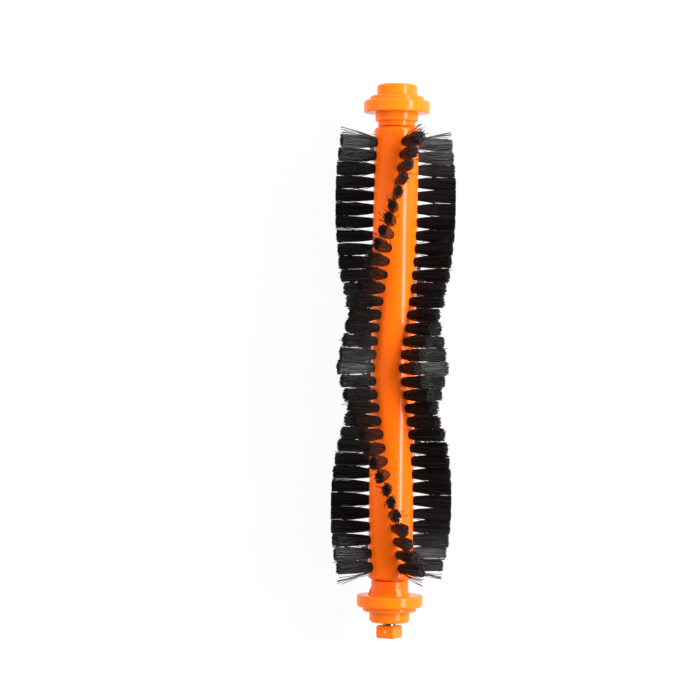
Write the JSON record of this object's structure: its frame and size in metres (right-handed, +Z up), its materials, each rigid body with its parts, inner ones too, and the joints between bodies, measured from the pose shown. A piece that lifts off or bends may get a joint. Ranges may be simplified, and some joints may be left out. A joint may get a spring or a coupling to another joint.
{
  "type": "robot vacuum roller brush",
  "caption": "Robot vacuum roller brush: round core with V-shaped rows of bristle tufts, a free-turning flanged bearing at each end and a square drive.",
  "frame": {"origin": "on the floor below mid-length, with the brush lying on its bristles", "axes": "+Y along the roller's axis towards the idle end, +Z up, +X to the side"},
  "size_m": [0.0382, 0.174, 0.0378],
  "materials": {
    "orange_plastic": "smooth moulded, glossy",
    "black_bristle": "nylon filament",
    "steel": "drawn wire and rod"
  },
  "bodies": {
    "roller": {"roller_core": "orange_plastic", "drive_pin": "steel", "drive_block": "orange_plastic", "bristle_row_1_idle": "black_bristle", "bristle_row_1_drive": "black_bristle", "bristle_row_2_idle": "black_bristle", "bristle_row_2_drive": "black_bristle", "bristle_row_3_idle": "black_bristle", "bristle_row_3_drive": "black_bristle", "bristle_row_4_idle": "black_bristle", "bristle_row_4_drive": "black_bristle", "staples_row_1_idle": "steel", "staples_row_1_drive": "steel", "staples_row_2_idle": "steel", "staples_row_2_drive": "steel", "staples_row_3_idle": "steel", "staples_row_3_drive": "steel", "staples_row_4_idle": "steel", "staples_row_4_drive": "steel"},
    "idle_bearing": {"idle_cap": "orange_plastic", "idle_collar": "orange_plastic"},
    "drive_bearing": {"drive_bush": "orange_plastic", "drive_collar": "orange_plastic"}
  },
  "joints": [
    {"name": "idle_bearing_spin", "type": "hinge", "parent": "roller", "child": "idle_bearing", "pos_m": [0, 0.078, 0.0187], "axis": [0, 1, 0], "continuous": true},
    {"name": "drive_bearing_spin", "type": "hinge", "parent": "roller", "child": "drive_bearing", "pos_m": [0, -0.076, 0.0187], "axis": [0, 1, 0], "continuous": true}
  ]
}
